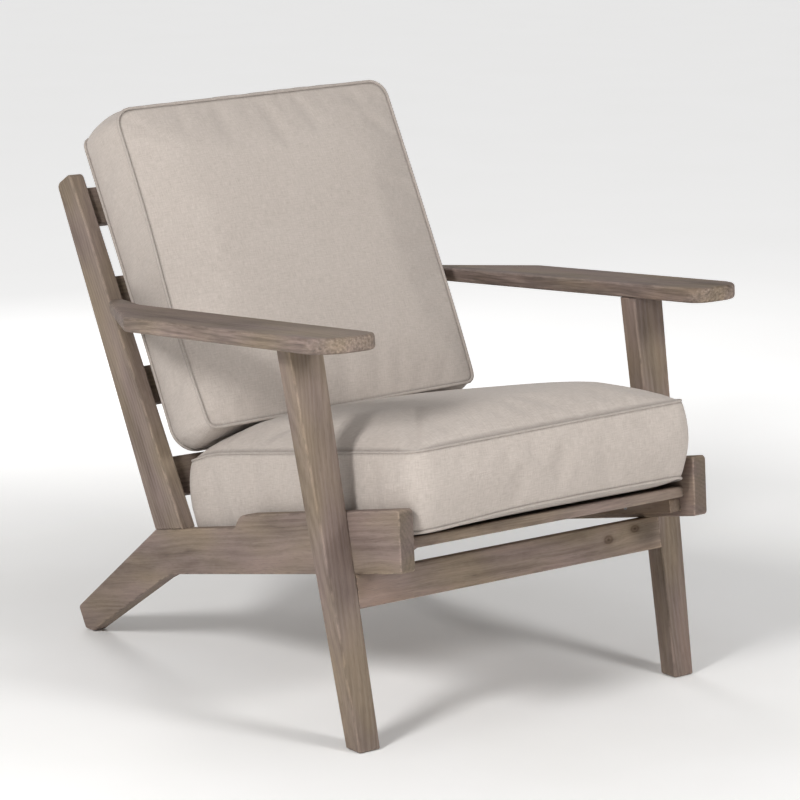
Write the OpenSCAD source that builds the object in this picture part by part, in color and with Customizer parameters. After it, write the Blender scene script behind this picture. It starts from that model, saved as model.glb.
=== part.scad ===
// Fireside chair: a plank-sided wooden frame with a reclined slatted back and two loose box cushions.
// Millimetres, +Z up. The chair faces -Y, and left and right are as seen from the front.
// The origin lies on the floor in the middle of the chair's width and of its depth.

/* [Side frames] */
// Inside width between the two side rails
seat_w = 496; // [440:1:560]
// Thickness of the side rails and of the back posts
board_t = 24; // [20:0.5:30]
// Fall of the seat to the rear, in degrees
seat_tilt = 12; // [9:0.5:14]
// Height of a side rail, square to the seat
rail_h = 84; // [74:1:96]
// Depth of the rear step in a side rail's top edge
rail_step = 18; // [10:1:26]
// Run of a side rail ahead of the front legs
rail_nose = 104; // [70:1:130]
// Distance from the front legs' front face to the rear step
step_at = 260; // [230:1:290]
// Distance from the front legs' front face to the middle of the back posts' feet
post_at = 450; // [430:1:480]
// Distance from the front legs' front face to the bend into the rear leg
bend_at = 466; // [450:1:480]
// Turn of the rear leg below the rail, in degrees
rear_leg_turn = 20; // [16:0.5:24]
// Length of the flat that a rear leg stands on
rear_foot_l = 20; // [17:0.5:30]
// Depth of a rear leg at its foot
rear_foot_w = 36; // [30:1:46]
// Rounding of the boards' long edges
board_ease = 2.4; // [1:0.2:3]

/* [Front legs] */
// Length of a front leg below the side rails
leg_below = 237; // [200:1:260]
// Depth of a front leg from front to rear
leg_d = 31; // [27:0.5:38]
// Width of a front leg at the floor
leg_foot_w = 35; // [30:0.5:42]
// Width of a front leg under the armrest
leg_top_w = 55; // [46:0.5:64]
// Outward lean of a front leg's inner face, in degrees
leg_splay = 1.1; // [0.6:0.1:1.6]
// Rounding of the front legs' corners
leg_r = 3; // [1.5:0.5:5]
// Height of the front stretcher, square to the seat
stretcher_h = 47; // [38:1:56]
// Thickness of the front stretcher
stretcher_t = 22; // [19:0.5:27]

/* [Back] */
// Lean of the back from the vertical, in degrees
back_lean = 29.5; // [26:0.5:32]
// Length of a back post along its middle
post_l = 555; // [500:1:620]
// Depth of a back post at its foot
post_foot_d = 70; // [60:1:80]
// Depth of a back post at its top
post_top_d = 42; // [36:1:52]
// Height of the lowest slat's middle above the posts' feet
slat_first = 75; // [68:1:84]
// Distance of the top slat's middle below the posts' tops
slat_top_gap = 51; // [40:1:70]
// Height of a back slat
slat_h = 59; // [48:1:68]
// Thickness of a back slat
slat_t = 14; // [13:0.5:18]

/* [Armrests] */
// Height of an armrest's top face above the front legs' feet
arm_h = 568; // [530:1:600]
// Fall of the armrests to the rear, in degrees
arm_slope = 4.2; // [2:0.2:6]
// Thickness of an armrest
arm_t = 21.5; // [19:0.5:26]
// Width of an armrest where it is widest
arm_w = 103; // [88:1:115]
// Width of an armrest at its front end
arm_nose_w = 96; // [84:1:103]
// Run of an armrest ahead of the front legs' feet
arm_nose = 19; // [10:1:40]
// Distance from the front legs' feet to where an armrest starts to narrow
arm_full = 446; // [400:1:480]
// Rounding of an armrest's long edges
arm_ease = 5; // [3:0.5:7]

/* [Seat slats] */
// Width of a seat slat
seat_slat_w = 58; // [48:1:64]
// Thickness of a seat slat
seat_slat_t = 15; // [12:0.5:18]
// Depth of the seat slats' top faces below the side rails' top edge
seat_drop = 41; // [34:1:46]
// Set-back of the first seat slat from the side rails' front ends
seat_slat_back = 18; // [10:1:26]
// Spacing of the seat slats behind the front legs
seat_slat_pitch = 100; // [90:1:105]
// Side of the square cleats that carry the seat slats
cleat_s = 20; // [16:0.5:22]

/* [Cushions] */
// Gap on either side of the cushions, between them and the side frames
cushion_gap = 5; // [4:0.5:12]
// Height of the seat cushion's side band between its seams
seat_band = 105; // [85:1:120]
// Rise of the seat cushion's top panel in the middle
seat_crown = 61; // [35:1:64]
// Overhang of the seat cushion's lower seam past the side rails' front ends
seat_cushion_nose = 4; // [0:1:15]
// Lean of the seat cushion's front band past its lower seam
seat_cushion_rake = 17; // [5:1:25]
// Gap between the seat cushion and the bottom back slat
seat_cushion_gap = 22; // [8:1:34]
// Height of the back cushion between its seams' corners
back_cushion_h = 496; // [450:1:510]
// Widening of the back cushion from its bottom to its top, on either side
back_cushion_flare = 4; // [0:1:16]
// Thickness of the back cushion's side band between its seams
back_band = 108; // [90:1:120]
// Rise of the back cushion's front and rear panels in the middle
back_crown = 28; // [18:1:34]
// Diameter of the piping along the cushions' seams
piping_d = 6; // [4:0.5:8]
// Thickness of the padded cover around a foam core at its thinnest
cover_t = 12; // [10:0.5:16]

/* [Hardware] */
// Diameter of the dowels in the armrests, the back slats and the stretcher
dowel_d = 8; // [6:0.5:9]
// Length of those dowels
dowel_l = 40; // [30:1:44]
// Diameter of the dowels between the posts and the side rails
post_dowel_d = 10; // [8:0.5:12]
// Length of the dowels between the posts and the side rails
post_dowel_l = 50; // [40:1:60]
// Shank diameter of the bolts between the side rails and the front legs
bolt_d = 6; // [5:0.5:8]
// Diameter of the feet's glides
glide_d = 12; // [9:0.5:14]
// Height by which the glides stand proud of the feet
glide_proud = 0.8; // [0.5:0.1:1.5]

/* [Hidden] */

wood = [0.47, 0.42, 0.37];
linen = [0.80, 0.76, 0.70];
foam = [0.93, 0.88, 0.70];
steel = [0.62, 0.62, 0.62];
nylon = [0.25, 0.24, 0.23];

// Overrun of every cut past the face that it opens
cut = 1;
// Running gap of a piece that lies against another without touching it
gap = 0.3;
// Gap under the back cushion where it rests on the seat cushion
rest_gap = 0.5;
sides = [-1, 1];
$fn = 32;

// Fasteners, and the play round each of them
bore_play = 0.05;
bolt_head_d = 13;
bolt_head_h = 4.2;
insert_d = 10;
insert_l = 15;
screw_d = 4;
screw_l = 32;
screw_head_d = 8;
arm_dowel_in = 13;

back_slats = 4;

// Levels square to the seat, and widths from the chair's middle
rail_top = leg_below + rail_h;
rail_low_top = rail_top - rail_step;
slat_top = rail_top - seat_drop;
slat_under = slat_top - seat_slat_t;
rail_in = seat_w / 2;
rail_out = rail_in + board_t;
cushion_w = seat_w - 2 * cushion_gap;
slat_pitch = (post_l - slat_first - slat_top_gap) / (back_slats - 1);

function tilted_point(x, u, v) =
    [x, u * cos(seat_tilt) + v * sin(seat_tilt), v * cos(seat_tilt) - u * sin(seat_tilt)];

// Outlines: corners are [across, up, radius], listed anticlockwise
arc_step = 14;
function unit(v) = v / norm(v);
function corner_points(a, b, c) =
    let (to_a = unit([a.x - b.x, a.y - b.y]), to_c = unit([c.x - b.x, c.y - b.y]), half = acos(to_a * to_c) / 2,
         centre = [b.x, b.y] + unit(to_a + to_c) * b.z / sin(half),
         from = [b.x, b.y] + to_a * b.z / tan(half) - centre, to = [b.x, b.y] + to_c * b.z / tan(half) - centre,
         start = atan2(from.y, from.x), end = atan2(to.y, to.x),
         turn = end - start > 180 ? end - start - 360 : end - start < -180 ? end - start + 360 : end - start,
         steps = max(1, ceil(abs(turn) / arc_step)))
    b.z == 0 ? [[b.x, b.y]]
             : [for (i = [0:steps]) centre + b.z * [cos(start + turn * i / steps), sin(start + turn * i / steps)]];
function outline(corners) =
    let (n = len(corners))
    [for (i = [0:n - 1]) each corner_points(corners[(i + n - 1) % n], corners[i], corners[(i + 1) % n])];
function inset(points, d) =
    let (n = len(points))
    [for (i = [0:n - 1])
        let (before = unit(points[i] - points[(i + n - 1) % n]), after = unit(points[(i + 1) % n] - points[i]),
             in_before = [-before.y, before.x], in_after = [-after.y, after.x])
        points[i] + d * (in_before + in_after) / (1 + in_before * in_after)];

// Triangles that fill a flat outline, which may have inward corners
function side_of(a, b, c) = (b.x - a.x) * (c.y - a.y) - (b.y - a.y) * (c.x - a.x);
function is_ear(points, left, i) =
    let (n = len(left), a = points[left[(i + n - 1) % n]], b = points[left[i]], c = points[left[(i + 1) % n]])
    side_of(a, b, c) > 0 && len([for (j = [2:n - 2])
        let (p = points[left[(i + j) % n]])
        if (side_of(a, b, p) >= 0 && side_of(b, c, p) >= 0 && side_of(c, a, p) >= 0) j]) == 0;
function first_ear(points, left, i = 0) = is_ear(points, left, i) ? i : first_ear(points, left, i + 1);
function fill(points, left, done = []) =
    let (n = len(left))
    n == 3 ? concat(done, [left])
           : let (i = first_ear(points, left))
             fill(points, [for (k = [0:n - 1]) if (k != i) left[k]],
                  concat(done, [[left[(i + n - 1) % n], left[i], left[(i + 1) % n]]]));

// A closed solid through rings of equally many points, with the flat outline of its ends given
module skin(rings, flat) {
    n = len(rings[0]);
    last = len(rings) - 1;
    ends = fill(flat, [for (i = [0:n - 1]) i]);
    polyhedron(
        points = [for (ring = rings) each ring],
        faces = concat(
            ends,
            [for (end = ends) [for (k = [2:-1:0]) last * n + end[k]]],
            [for (k = [0:last - 1]) for (i = [0:n - 1]) [k * n + i, (k + 1) * n + i, k * n + (i + 1) % n]],
            [for (k = [0:last - 1]) for (i = [0:n - 1])
                [k * n + (i + 1) % n, (k + 1) * n + i, (k + 1) * n + (i + 1) % n]]));
}

// A board of thickness t from x to x + t, its outline in y and z, with rounded long edges
ease_steps = 3;
module board(points, x, t, ease) {
    near = [for (k = [0:ease_steps]) [ease - ease * cos(90 * k / ease_steps), ease - ease * sin(90 * k / ease_steps)]];
    far = [for (k = [ease_steps:-1:0]) [t - near[k][0], near[k][1]]];
    skin([for (level = concat(near, far)) [for (p = inset(points, level[1])) [x + level[0], p.x, p.y]]],
         inset(points, ease));
}

// A straight bar along x between x0 and x1, its section in y and z with rounded corners
module bar(x0, x1, y, z, w, h, r) {
    translate([x0, 0, 0])
        rotate([90, 0, 90])
            linear_extrude(x1 - x0) {
                translate([y + r, z]) square([w - 2 * r, h]);
                translate([y, z + r]) square([w, h - 2 * r]);
                for (a = [r, w - r], b = [r, h - r]) translate([y + a, z + b]) circle(r);
            }
}

module mirrored(side) {
    if (side < 0) mirror([1, 0, 0]) children();
    else children();
}

// The frames that the seat, the back and the armrests are laid out in
module tilted() { rotate([-seat_tilt, 0, 0]) children(); }
module leaned() { translate([0, post_y, post_z]) rotate([-back_lean, 0, 0]) children(); }
module sloped() { translate([0, 0, arm_h]) rotate([-arm_slope, 0, 0]) children(); }
module placed() { translate([0, -(front_y + rear_y) / 2, 0]) children(); }

// Side rail with its rear leg, one board cut to a bent outline
rail_corner_r = 6;
rail_bend_r = 140;
rail_shoulder_r = 30;
rail_step_r = 3;
rail_riser = 17;
rail_end_lean = 7.7;
foot_floor = (glide_proud - leg_below * cos(seat_tilt) + bend_at * sin(seat_tilt)) / sin(rear_leg_turn + seat_tilt);
sole_front = [bend_at - foot_floor * cos(rear_leg_turn), leg_below + foot_floor * sin(rear_leg_turn)];
sole_rear = sole_front + rear_foot_l * [cos(seat_tilt), sin(seat_tilt)];
heel = sole_rear + rear_foot_w * [sin(rear_leg_turn), cos(rear_leg_turn)];
back_turn = back_lean - seat_tilt;
rail_points = outline([
    [-rail_nose, leg_below, rail_corner_r],
    [bend_at, leg_below, rail_bend_r],
    [sole_front.x, sole_front.y, rail_corner_r],
    [sole_rear.x, sole_rear.y, rail_step_r],
    [heel.x, heel.y, rail_corner_r],
    [post_at + post_foot_d / 2 / cos(back_turn), rail_low_top, 0],
    [step_at + rail_riser, rail_low_top, rail_step_r],
    [step_at, rail_top, rail_shoulder_r],
    [-rail_nose - rail_h * tan(rail_end_lean), rail_top, rail_corner_r]
]);
module side_rail(side) {
    color(wood) placed() mirrored(side) tilted()
        difference() {
            board(rail_points, rail_in, board_t, board_ease);
            at_leg_bolts() {
                bore(bolt_d + 2 * bore_play, board_t + 2 * cut, -cut);
                bore(bolt_head_d + 4 * bore_play, bolt_head_h + cut, -cut);
            }
            at_post_dowels() bore(post_dowel_d + 2 * bore_play, post_dowel_l / 2, -post_dowel_l / 2);
            at_cleat_screws() bore(screw_d, screw_l - cleat_s, cleat_s);
            rotate([seat_tilt, 0, 0]) at_rear_glide() glide_shape();
        }
}

// Front leg: its inner face leans outward, and shallow housings take the side rail and the stretcher
function leg_floor(u) = (glide_proud + u * sin(seat_tilt)) / cos(seat_tilt);
function leg_head(u) =
    let (under = arm_h - arm_t / cos(arm_slope), fall = tan(arm_slope))
    (under + u * (sin(seat_tilt) - fall * cos(seat_tilt))) / (cos(seat_tilt) + fall * sin(seat_tilt));
function leg_in(v) = rail_out - (rail_top - v) * tan(leg_splay);
function leg_out(v) = leg_in(v) + leg_foot_w + (leg_top_w - leg_foot_w) * v / leg_head(0);
leg_turns = [for (k = [0:3]) for (i = [0:3]) [90 * k + 30 * i, k]];
function leg_ring(at_head, rise, trim) =
    [for (turn = leg_turns)
        let (su = turn[1] == 0 || turn[1] == 3 ? 1 : -1, sx = turn[1] < 2 ? 1 : -1, r = leg_r - trim,
             u = leg_d / 2 + su * (leg_d / 2 - leg_r) + r * cos(turn[0]),
             v = (at_head ? leg_head(u) : leg_floor(u)) + rise)
        [(leg_in(v) + leg_out(v)) / 2 + sx * ((leg_out(v) - leg_in(v)) / 2 - leg_r) + r * sin(turn[0]), u, v]];
leg_trim = 1.5;
module front_leg(side) {
    color(wood) placed() mirrored(side) tilted()
        difference() {
            skin([leg_ring(false, 0, leg_trim), leg_ring(false, leg_trim, 0), leg_ring(true, 0, 0)],
                 [for (p = leg_ring(true, 0, 0)) [p.y, p.x]]);
            translate([0, -cut, leg_below]) cube([rail_out, leg_d + 2 * cut, rail_h]);
            stretcher_bar(0, stretcher_x);
            at_leg_bolts() bore(insert_d, insert_l, board_t);
            at_stretcher_dowels() bore(dowel_d + 2 * bore_play, dowel_l / 2, 0);
            at_leg_head_dowels() bore(dowel_d + 2 * bore_play, dowel_l, arm_dowel_in - dowel_l);
            rotate([seat_tilt, 0, 0]) at_front_glide() glide_shape();
        }
}

// Front stretcher, its front face flush with the legs and its top under the side rails
stretcher_r = 2.5;
stretcher_x = leg_in(leg_below);
module stretcher_bar(x0, x1) {
    bar(x0, x1, 0, leg_below - stretcher_h, stretcher_t, stretcher_h, stretcher_r);
}
module front_stretcher() {
    color(wood) placed() tilted()
        difference() {
            stretcher_bar(-stretcher_x, stretcher_x);
            for (side = sides) mirrored(side)
                at_stretcher_dowels() bore(dowel_d + 2 * bore_play, dowel_l / 2, -dowel_l / 2);
        }
}

// Back post, tapering to its square top, on the rear part of the side rail
post_y = tilted_point(0, post_at, rail_low_top).y;
post_z = tilted_point(0, post_at, rail_low_top).z;
post_head_r = 9;
post_ease = 3;
post_base = post_foot_d / 2 * tan(back_turn);
post_points = outline([
    [-post_foot_d / 2, -post_base, 0],
    [post_foot_d / 2, post_base, 0],
    [post_top_d / 2, post_l, post_head_r],
    [-post_top_d / 2, post_l, post_head_r]
]);
module back_post(side) {
    color(wood) placed() mirrored(side)
        difference() {
            leaned() board(post_points, rail_in, board_t, post_ease);
            leaned() at_slat_dowels() bore(dowel_d + 2 * bore_play, dowel_l / 2, 0);
            tilted() at_post_dowels() bore(post_dowel_d + 2 * bore_play, post_dowel_l / 2, 0);
            sloped() at_arm_end_dowel() bore(dowel_d + 2 * bore_play, arm_dowel_in + dowel_d, -dowel_d);
        }
}

// Outermost points of the side frames, front and rear
front_y = min([for (p = rail_points) tilted_point(0, p.x, p.y).y]);
rear_y = max([for (p = post_points) post_y + p.x * cos(back_lean) + p.y * sin(back_lean)]);

// Armrest: a sloping plank on the front leg that narrows to the width of the back post
arm_in = leg_in(leg_head(leg_d / 2));
arm_out = arm_in + arm_w;
function post_front(p) =
    -post_foot_d / 2 + (post_foot_d - post_top_d) / 2 * (p + post_base) / (post_l + post_base);
function post_front_y(p) = post_y + p * sin(back_lean) + post_front(p) * cos(back_lean);
function post_front_level(p) =
    post_z + p * cos(back_lean) - post_front(p) * sin(back_lean) + tan(arm_slope) * post_front_y(p);
function arm_end(below) =
    let (level = arm_h - below / cos(arm_slope), from = post_front_level(0), step = post_front_level(1) - from)
    (post_front_y((level - from) / step) + below * sin(arm_slope)) / cos(arm_slope);
arm_tail = arm_end(0) + cut;
arm_neck = 95;
arm_front_in_r = 26;
arm_front_out_r = 46;
arm_sweep_r = 60;
arm_shoulder_r = 30;
arm_points = outline([
    [arm_in, -arm_nose, arm_front_in_r],
    [arm_in + arm_nose_w, -arm_nose, arm_front_out_r],
    [arm_out, arm_full, arm_shoulder_r],
    [rail_out, arm_tail, 0],
    [rail_in, arm_tail, 0],
    [arm_in, arm_tail - arm_neck, arm_sweep_r]
]);
module arm_plank() {
    near = [for (k = [0:ease_steps])
        [arm_ease - arm_ease * cos(90 * k / ease_steps), arm_ease - arm_ease * sin(90 * k / ease_steps)]];
    far = [for (k = [ease_steps:-1:0]) [arm_t - near[k][0], near[k][1]]];
    skin([for (level = concat(near, far))
        [for (p = inset(arm_points, level[1])) [p.x, p.y, level[0] - arm_t]]], inset(arm_points, arm_ease));
}
module behind_post_front() {
    leaned()
        translate([rail_in - board_t, 0, 0]) rotate([90, 0, 90]) linear_extrude(3 * board_t)
            polygon([[-post_foot_d / 2, -post_base], [post_foot_d, -post_base],
                     [post_foot_d, post_l], [-post_top_d / 2, post_l]]);
}
module armrest(side) {
    color(wood) placed() mirrored(side)
        difference() {
            sloped() arm_plank();
            behind_post_front();
            tilted() at_leg_head_dowels() bore(dowel_d + 2 * bore_play, arm_dowel_in + dowel_d, -dowel_d);
            sloped() at_arm_end_dowel()
                bore(dowel_d + 2 * bore_play, dowel_l - arm_dowel_in + dowel_d, arm_dowel_in - dowel_l);
        }
}

// Back slats between the posts, their front faces parallel to the posts' middle line
slat_set = 12;
slat_r = 2.5;
module back_slat(i) {
    color(wood) placed() leaned()
        difference() {
            bar(-rail_in, rail_in, -slat_set, slat_first + i * slat_pitch - slat_h / 2, slat_t, slat_h, slat_r);
            for (side = sides) mirrored(side)
                at_slat_dowels() bore(dowel_d + 2 * bore_play, dowel_l / 2, -dowel_l / 2);
        }
}

// Seat slats across two cleats inside the side rails
seat_slat_r = 3;
seat_slat_front = -rail_nose + seat_slat_back;
second_slat_at = leg_d + bolt_head_d;
cleat_front = seat_slat_front + cleat_s / 2;
function seat_slat_at(i) = i == 0 ? seat_slat_front : second_slat_at + (i - 1) * seat_slat_pitch;
cleat_l = seat_slat_at(4) + seat_slat_w - cleat_front;
module seat_slat(i) {
    color(wood) placed() tilted()
        difference() {
            bar(-rail_in, rail_in, seat_slat_at(i), slat_under, seat_slat_w, seat_slat_t, seat_slat_r);
            for (side = sides) mirrored(side) at_seat_slat_screws() {
                bore(screw_d, seat_slat_t + 2 * cut, -seat_slat_t - cut);
                countersink(0);
            }
        }
}
module cleat(side) {
    color(wood) placed() mirrored(side) tilted()
        difference() {
            translate([rail_in - cleat_s, cleat_front, slat_under - cleat_s]) cube([cleat_s, cleat_l, cleat_s]);
            at_seat_slat_screws() bore(screw_d, screw_l, -screw_l);
            at_cleat_screws() {
                bore(screw_d, cleat_s + 2 * cut, -cut);
                rotate([180, 0, 0]) countersink(0);
            }
        }
}

// Places of the fasteners: each puts its children's z axis along the fastener
module bore(d, l, from) { translate([0, 0, from]) cylinder(d = d, h = l); }
module countersink(play) {
    translate([0, 0, -(screw_head_d - screw_d) / 2])
        cylinder(d1 = screw_d - 2 * play, d2 = screw_head_d - 2 * play, h = (screw_head_d - screw_d) / 2);
}
bolt_height_shares = [0.45, 0.82];
module at_leg_bolts() {
    for (share = bolt_height_shares)
        translate([rail_in, leg_d / 2, leg_below + share * rail_h]) rotate([0, 90, 0]) children();
}
stretcher_dowel_shares = [0.27, 0.73];
module at_stretcher_dowels() {
    for (share = stretcher_dowel_shares)
        translate([stretcher_x, stretcher_t / 2, leg_below - share * stretcher_h]) rotate([0, 90, 0]) children();
}
post_dowel_share = 0.26;
module at_post_dowels() {
    for (side = sides)
        translate([rail_in + board_t / 2, post_at + side * post_dowel_share * post_foot_d, rail_low_top]) children();
}
slat_dowel_share = 0.3;
module at_slat_dowels() {
    for (i = [0:3], side = sides)
        translate([rail_in, slat_t / 2 - slat_set, slat_first + i * slat_pitch + side * slat_dowel_share * slat_h])
            rotate([0, 90, 0]) children();
}
leg_head_dowel_share = 0.22;
module at_leg_head_dowels() {
    for (side = sides)
        translate([(leg_in(leg_head(0)) + leg_out(leg_head(0))) / 2 + side * leg_head_dowel_share * leg_top_w,
                   leg_d / 2, leg_head(leg_d / 2)])
            children();
}
module at_arm_end_dowel() {
    translate([rail_in + board_t / 2, arm_end(arm_t / 2), -arm_t / 2]) rotate([-90, 0, 0]) children();
}
module at_seat_slat_screws() {
    for (i = [0:4])
        translate([rail_in - cleat_s / 2, seat_slat_at(i) + seat_slat_w / 2, slat_top]) children();
}
cleat_screw_shares = [0.2, 0.44, 0.64, 0.86];
module at_cleat_screws() {
    for (share = cleat_screw_shares)
        translate([rail_in - cleat_s, cleat_front + share * cleat_l, slat_under - cleat_s / 2])
            rotate([0, 90, 0]) children();
}
module dowel(d, l, from) { translate([0, 0, from]) cylinder(d = d, h = l); }
module screw() {
    translate([0, 0, -screw_l + 2 * bore_play]) cylinder(d = screw_d - 2 * bore_play, h = screw_l - cut);
    countersink(bore_play);
}
module slat_dowels() {
    color(wood) placed() leaned() for (side = sides) mirrored(side)
        at_slat_dowels() dowel(dowel_d, dowel_l - cut, -(dowel_l - cut) / 2);
}
module post_dowels() {
    color(wood) placed() tilted() for (side = sides) mirrored(side)
        at_post_dowels() dowel(post_dowel_d, post_dowel_l - cut, -(post_dowel_l - cut) / 2);
}
module armrest_dowels() {
    color(wood) placed() for (side = sides) mirrored(side) {
        tilted() at_leg_head_dowels()
            dowel(dowel_d, dowel_l - cut, arm_dowel_in - dowel_l + cut / 2);
        sloped() at_arm_end_dowel() dowel(dowel_d, dowel_l - cut, arm_dowel_in - dowel_l + cut / 2);
    }
}
module stretcher_dowels() {
    color(wood) placed() tilted() for (side = sides) mirrored(side)
        at_stretcher_dowels() dowel(dowel_d, dowel_l - cut, -(dowel_l - cut) / 2);
}
hex_sides = 6;
module leg_bolts() {
    color(steel) placed() tilted() for (side = sides) mirrored(side) at_leg_bolts()
        difference() {
            union() {
                dowel(bolt_head_d, bolt_head_h, 0);
                dowel(bolt_d, board_t + insert_l - cut, 0);
            }
            translate([0, 0, -cut]) cylinder(d = bolt_d, h = bolt_head_h, $fn = hex_sides);
        }
}
module leg_inserts() {
    color(steel) placed() tilted() for (side = sides) mirrored(side) at_leg_bolts()
        difference() {
            dowel(insert_d - 2 * bore_play, insert_l - cut / 2, board_t);
            bore(bolt_d + 2 * bore_play, insert_l + 2 * cut, board_t - cut);
        }
}
module cleat_screws() {
    color(steel) placed() tilted() for (side = sides) mirrored(side)
        at_cleat_screws() rotate([180, 0, 0]) screw();
}
module seat_slat_screws() {
    color(steel) placed() tilted() for (side = sides) mirrored(side) at_seat_slat_screws() screw();
}

// Glides nailed under the feet
glide_in = 1.2;
glide_nail_d = 2.5;
glide_nail_l = 12;
module glide_shape() {
    cylinder(d = glide_d, h = glide_proud + glide_in);
    cylinder(d = glide_nail_d, h = glide_proud + glide_in + glide_nail_l);
}
module at_front_glide() {
    translate([(leg_in(0) + leg_out(0)) / 2, leg_d / 2 / cos(seat_tilt), 0]) children();
}
module at_rear_glide() {
    middle = (sole_front + sole_rear) / 2;
    translate([rail_in + board_t / 2, tilted_point(0, middle.x, middle.y).y, 0]) children();
}
module front_glides() { color(nylon) placed() for (side = sides) mirrored(side) at_front_glide() glide_shape(); }
module rear_glides() { color(nylon) placed() for (side = sides) mirrored(side) at_rear_glide() glide_shape(); }

// Cushions: rings of a rounded rectangle, level by level through a panel, a seam, the band, a seam and a panel
corner_steps = 6;
side_steps = 4;
function plan(a, b, r, draws) =
    [for (k = [0:3])
        let (e = [cos(90 * k), sin(90 * k)], f = [-e.y, e.x], along = k % 2 == 0 ? a : b, out = k % 2 == 0 ? b : a)
        each concat(
            [for (i = [0:corner_steps]) e * (along - r) + f * (out - r)
                + r * (cos(90 * i / corner_steps) * e + sin(90 * i / corner_steps) * f)],
            [for (j = [1:side_steps - 1]) e * (along - r) * (1 - 2 * j / side_steps)
                + f * (out - draws[k] * sin(180 * j / side_steps))])];

// Each row of the band: place between the seams, share of the draw-in
band_shares = [[0.04, 0.8], [0.16, 1], [0.34, 1], [0.6, 1], [0.82, 0.9], [0.96, 0.8]];
panel_shares = [0.98, 0.93, 0.86, 0.76, 0.64, 0.36];
band_draw = 5;
side_draw = 4;
seam_turns = [-90, -45, 0, 45, 90];
function crown(rise, powers, across, along) =
    rise * pow((1 - pow(abs(across), powers.x)) * (1 - pow(abs(along), powers.y)), powers.z);
// The top panel stays below a slope from the height press.x at the middle, falling by press.y
module cushion_form(a, b, r, draws, low, high, rises, powers, rake, flare, press) {
    function panel(seam, rise, powers, s) =
        [for (p = plan(a, b, r, draws))
            [s * p.x, s * p.y, min(press.x - press.y * s * p.y, seam + crown(rise, powers, s * p.x / a, s * p.y / b))]];
    function level(d, z) = [for (p = plan(a - d, b - d, r - d, draws)) [p.x, p.y, z]];
    function seam(z) =
        [for (turn = seam_turns) level(piping_d / 2 * (1 - cos(turn)), z + piping_d / 2 * sin(turn))];
    function raked(ring) =
        [for (p = ring) p + [flare * p.x / a * (1 + p.y / b) / 2,
                             -rake * max(0, -p.y / b) * min(1, max(0, (p.z - low) / (high - low))), 0]];
    n = len(plan(a, b, r, draws));
    rings = [for (ring = concat(
        [for (i = [len(panel_shares) - 1:-1:0]) panel(low, -rises[0], powers[0], panel_shares[i])],
        seam(low),
        [for (row = band_shares) level(band_draw * row[1], low + row[0] * (high - low))],
        seam(high),
        [for (s = panel_shares) panel(high, rises[1], powers[1], s)])) raked(ring)];
    last = len(rings) - 1;
    under = (rings[0][0] + rings[0][n / 2]) / 2;
    over = (rings[last][0] + rings[last][n / 2]) / 2;
    polyhedron(
        points = concat([under, over], [for (ring = rings) each ring]),
        faces = concat(
            [for (i = [0:n - 1]) [0, 2 + i, 2 + (i + 1) % n]],
            [for (i = [0:n - 1]) [1, 2 + last * n + (i + 1) % n, 2 + last * n + i]],
            [for (k = [0:last - 1]) for (i = [0:n - 1])
                [2 + k * n + i, 2 + (k + 1) * n + i, 2 + k * n + (i + 1) % n]],
            [for (k = [0:last - 1]) for (i = [0:n - 1])
                [2 + k * n + (i + 1) % n, 2 + (k + 1) * n + i, 2 + (k + 1) * n + (i + 1) % n]]));
}
foam_corner_r = 6;
module foam_block(a, b, low, high) {
    inset = band_draw + cover_t;
    translate([0, 0, low]) linear_extrude(high - low)
        polygon(plan(a - inset, b - inset, foam_corner_r, [0, 0, 0, 0]));
}

// Seat cushion on its slats
seat_cushion_low = slat_top + gap;
seat_seam_low = seat_cushion_low + piping_d;
seat_seam_high = seat_seam_low + seat_band;
seat_cushion_front = -rail_nose - seat_cushion_nose;
seat_cushion_rear = post_at + (slat_first - slat_h / 2) * sin(back_turn) - slat_set * cos(back_turn)
    - seat_cushion_gap;
seat_half = (seat_cushion_rear - seat_cushion_front) / 2;
seat_mid = (seat_cushion_rear + seat_cushion_front) / 2;
seat_corner_r = 15;
seat_powers = [[20, 20, 1], [4, 5, 0.6]];
seat_draws = [0, side_draw, side_draw, side_draw];
module seat_form() {
    translate([0, seat_mid, 0])
        cushion_form(cushion_w / 2, seat_half, seat_corner_r, seat_draws, seat_seam_low, seat_seam_high,
                     [seat_seam_low - seat_cushion_low, seat_crown], seat_powers, seat_cushion_rake, 0, seat_press);
}
module seat_core_block() {
    translate([0, seat_mid, 0])
        foam_block(cushion_w / 2, seat_half, seat_cushion_low + cover_t, seat_seam_high);
}

// Back cushion on the slats behind it, its underside pressing the rear of the seat cushion's crown
back_seam_rear = slat_set + gap + back_crown;
back_seam_front = back_seam_rear + back_band;
back_half = back_cushion_h / 2;
back_corner_r = 32;
back_powers = [[4, 4, 0.8], [4, 4, 0.8]];
back_draws = [side_draw, side_draw, 0, side_draw];
function seat_top(u) =
    seat_seam_high + lookup((u - seat_mid) / seat_half,
                            [for (s = concat([1], panel_shares)) [s, crown(seat_crown, seat_powers[1], 0, s)]]);
function back_u(depth, p) = post_at + p * sin(back_turn) - depth * cos(back_turn);
function back_v(depth, p) = rail_low_top + p * cos(back_turn) + depth * sin(back_turn);
function resting(p, tries) =
    tries == 0 ? p : resting(p + (seat_top(back_u(back_seam_front, p)) + rest_gap - back_v(back_seam_front, p))
        / cos(back_turn), tries - 1);
back_cushion_at = resting(0, 12);
seat_press = [back_v(0, back_cushion_at) - rest_gap + (back_u(0, back_cushion_at) - seat_mid) * tan(back_turn),
              tan(back_turn)];
no_press = [seat_seam_high, 0];
module back_form() {
    translate([0, 0, back_cushion_at + back_half]) rotate([90, 0, 0])
        cushion_form(cushion_w / 2, back_half, back_corner_r, back_draws, back_seam_rear, back_seam_front,
                     [back_crown, back_crown], back_powers, 0, back_cushion_flare, no_press);
}
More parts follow.
